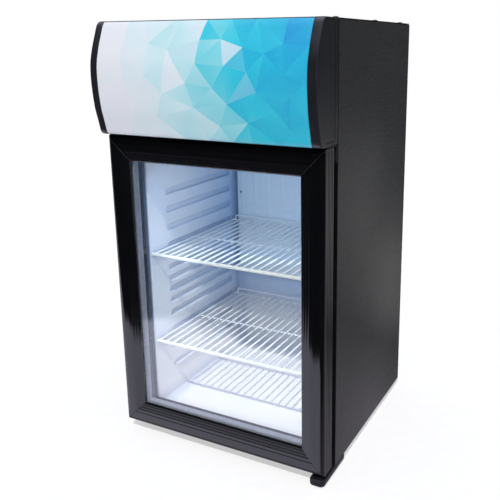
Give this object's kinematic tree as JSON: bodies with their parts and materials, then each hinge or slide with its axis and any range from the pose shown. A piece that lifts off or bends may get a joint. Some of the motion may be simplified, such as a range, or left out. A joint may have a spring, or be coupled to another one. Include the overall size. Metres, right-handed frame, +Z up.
{
  "type": "glass door merchandiser",
  "caption": "Counter-top glass door merchandiser: black steel cabinet, curved lit canopy, hinged double-glazed door, wire shelves and a top-mounted cooling unit.",
  "frame": {"origin": "centre of the footprint (bounding box in X and Y) on the counter plane, under the feet", "axes": "+Z up, -Y toward the user at the door side, +X to the user's right (hinge side)"},
  "size_m": [0.43, 0.4622, 0.7909],
  "materials": {
    "abs_black": "satin-gloss black moulding",
    "back_black": "matt black coating",
    "compressor": "gloss black enamel",
    "copper": "copper pipe",
    "evaporator": "plain roll-bond plate, satin",
    "fins": "plain fins",
    "foam": "rigid polyurethane foam",
    "galvanised": "plain galvanised sheet",
    "gasket": "dark grey magnetic gasket",
    "glass": "clear toughened pane",
    "lens": "frosted lamp lens",
    "liner_white": "white vacuum-formed liner, satin",
    "nylon": "nylon bush",
    "painted_black": "satin black coating with a fine brushed grain",
    "plastic_black": "black moulded plastic",
    "print": null,
    "pvc_black": "gloss black extrusion",
    "rubber": "black rubber",
    "screw": "black domed screw",
    "spacer": "perforated spacer bar",
    "steel": "plated steel",
    "wire_white": "white dip-coated wire"
  },
  "bodies": {
    "cabinet": {"back_panel": "back_black", "base_plate": "galvanised", "canopy_end_left": "abs_black", "canopy_end_right": "abs_black", "canopy_light_bar": "lens", "canopy_panel": "print", "canopy_tray": "painted_black", "compressor": "compressor", "compressor_grommet_a": "rubber", "compressor_grommet_b": "rubber", "compressor_grommet_c": "rubber", "compressor_grommet_d": "rubber", "condenser_fins": "fins", "discharge_pipe": "copper", "evaporator_plate": "evaporator", "fan_motor": "galvanised", "fan_shroud": "plastic_black", "foam_insulation": "foam", "foot_rear_left": "rubber", "foot_rear_right": "rubber", "front_plate": "painted_black", "hinge_bracket_lower": "abs_black", "hinge_bracket_upper": "painted_black", "hinge_pin_lower": "steel", "hinge_pin_upper": "steel", "inner_liner": "liner_white", "interior_lamp": "lens", "machine_deck": "galvanised", "power_cord": "rubber", "power_plug": "rubber", "shelf_lower": "wire_white", "shelf_upper": "wire_white", "side_panel_left": "painted_black", "side_panel_right": "painted_black", "suction_pipe": "copper", "switch_bezel": "plastic_black", "terminal_box": "plastic_black", "thermostat_body": "plastic_black", "top_panel": "painted_black", "top_screw_left_front": "screw", "top_screw_left_middle": "screw", "top_screw_left_rear": "screw", "top_screw_right_front": "screw", "top_screw_right_middle": "screw", "top_screw_right_rear": "screw"},
    "door": {"door_bush_lower": "nylon", "door_bush_upper": "nylon", "door_frame_bottom": "pvc_black", "door_frame_left": "pvc_black", "door_frame_right": "pvc_black", "door_frame_top": "pvc_black", "door_gasket": "gasket", "glass_inner": "glass", "glass_outer": "glass", "glass_spacer": "spacer"},
    "fan": {"fan_blades": "plastic_black"},
    "thermostat_dial": {"thermostat_knob": "plastic_black"},
    "lamp_switch": {"switch_rocker": "plastic_black"},
    "front_foot_left": {"foot_front_left": "rubber"},
    "front_foot_right": {"foot_front_right": "rubber"}
  },
  "joints": [
    {"name": "door_swing", "type": "hinge", "parent": "cabinet", "child": "door", "pos_m": [0.2, -0.182, 0.3065], "axis": [0, 0, 1], "range_deg": [0, 120]},
    {"name": "fan_spin", "type": "hinge", "parent": "cabinet", "child": "fan", "pos_m": [0.11, 0.12, 0.665], "axis": [0, 1, 0], "continuous": true},
    {"name": "thermostat_turn", "type": "hinge", "parent": "cabinet", "child": "thermostat_dial", "pos_m": [-0.16, 0.208, 0.725], "axis": [0, 1, 0], "range_deg": [0, 270]},
    {"name": "lamp_switch_tilt", "type": "hinge", "parent": "cabinet", "child": "lamp_switch", "pos_m": [-0.095, 0.2105, 0.745], "axis": [1, 0, 0], "range_deg": [-8, 8]},
    {"name": "foot_left_turn", "type": "hinge", "parent": "cabinet", "child": "front_foot_left", "pos_m": [-0.16, -0.105, 0.005], "axis": [0, 0, 1], "continuous": true},
    {"name": "foot_right_turn", "type": "hinge", "parent": "cabinet", "child": "front_foot_right", "pos_m": [0.16, -0.105, 0.005], "axis": [0, 0, 1], "continuous": true}
  ]
}
